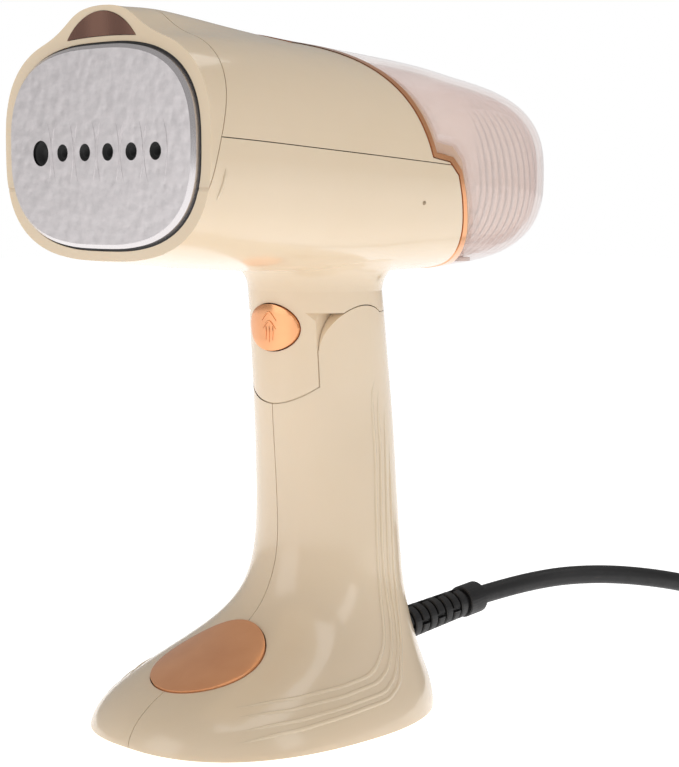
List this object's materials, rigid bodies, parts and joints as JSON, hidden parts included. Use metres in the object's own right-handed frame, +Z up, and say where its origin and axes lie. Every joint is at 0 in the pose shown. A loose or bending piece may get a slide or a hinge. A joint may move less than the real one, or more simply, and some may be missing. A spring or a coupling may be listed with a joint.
{
  "type": "handheld garment steamer",
  "caption": "Handheld garment steamer with a folding head, a flat steam plate, a clear slide-off water tank behind it, a handle on a wide foot and a mains cord.",
  "frame": {"origin": "centre of the foot's sole, on the surface it stands on", "axes": "+Z up; -Y is the way the steam plate faces; +X is to the right seen from the plate's side facing it from the front"},
  "size_m": [0.1151, 0.481, 0.2435],
  "materials": {
    "cream_plastic": "smooth gloss moulding",
    "plate_aluminium": "fine satin face with a bright bevel",
    "cast_aluminium": "as cast",
    "steel": "plain bright",
    "brass_pins": "plain",
    "copper_paint": "metallic copper, satin",
    "smoked_window": "smoked, polished",
    "tank_plastic": "clear tinted moulding",
    "black_plastic": "fine matt",
    "cord_rubber": "matt moulded",
    "sole_rubber": "matt moulded",
    "seal_rubber": "matt moulded",
    "silicone": "soft translucent",
    "tie": "matt",
    "board": "laminate",
    "pump_body": "lacquered coil"
  },
  "bodies": {
    "handle": {"handle_shell_left": "cream_plastic", "handle_shell_right": "cream_plastic", "base_cover": "cream_plastic", "sole_pad": "sole_rubber", "base_screws": "steel", "cord_clamp": "black_plastic", "strain_relief": "cord_rubber", "supply_lead": "cord_rubber", "power_switch": "black_plastic", "fold_pin": "steel", "cord_tube": "cord_rubber", "cord_coil": "cord_rubber", "cord_tie": "tie", "plug_body": "cord_rubber", "plug_pins": "brass_pins"},
    "power_button": {"power_button": "copper_paint"},
    "head": {"steam_plate": "plate_aluminium", "plate_seal": "seal_rubber", "boiler_block": "cast_aluminium", "heating_element": "steel", "boiler_lid": "cast_aluminium", "thermostat": "steel", "thermal_fuse": "steel", "heat_shield": "steel", "front_bezel": "cream_plastic", "barrel_upper_shell": "cream_plastic", "barrel_lower_shell": "cream_plastic", "trim_ring": "copper_paint", "tank_collar": "cream_plastic", "indicator_window": "smoked_window", "indicator_board": "board", "control_board": "board", "pump_cradle": "black_plastic", "water_pump": "pump_body", "feed_hose": "silicone", "suction_hose": "silicone", "valve_seat": "black_plastic", "head_wires": "silicone", "steam_switch": "black_plastic"},
    "steam_button": {"steam_button": "copper_paint"},
    "tank": {"water_tank": "tank_plastic", "tank_valve": "black_plastic", "intake_hose": "silicone"},
    "fill_plug": {"fill_plug": "seal_rubber"}
  },
  "joints": [
    {"name": "head_fold", "type": "hinge", "parent": "handle", "child": "head", "pos_m": [0, 0.0235, 0.13], "axis": [1, 0, 0], "range_deg": [0, 66]},
    {"name": "steam_button_press", "type": "slide", "parent": "head", "child": "steam_button", "axis": [0, 1, 0], "range_m": [0, 0.0016], "stiffness_N_per_m": 400, "springref_m": -0.001},
    {"name": "power_button_press", "type": "slide", "parent": "handle", "child": "power_button", "axis": [0, 0.3827, -0.9239], "range_m": [0, 0.0012], "stiffness_N_per_m": 400, "springref_m": -0.001},
    {"name": "tank_slide", "type": "slide", "parent": "head", "child": "tank", "axis": [0, -1, 0], "range_m": [-0.03, 0]},
    {"name": "plug_pull", "type": "slide", "parent": "tank", "child": "fill_plug", "axis": [0, 0, -1], "range_m": [0, 0.006]}
  ]
}
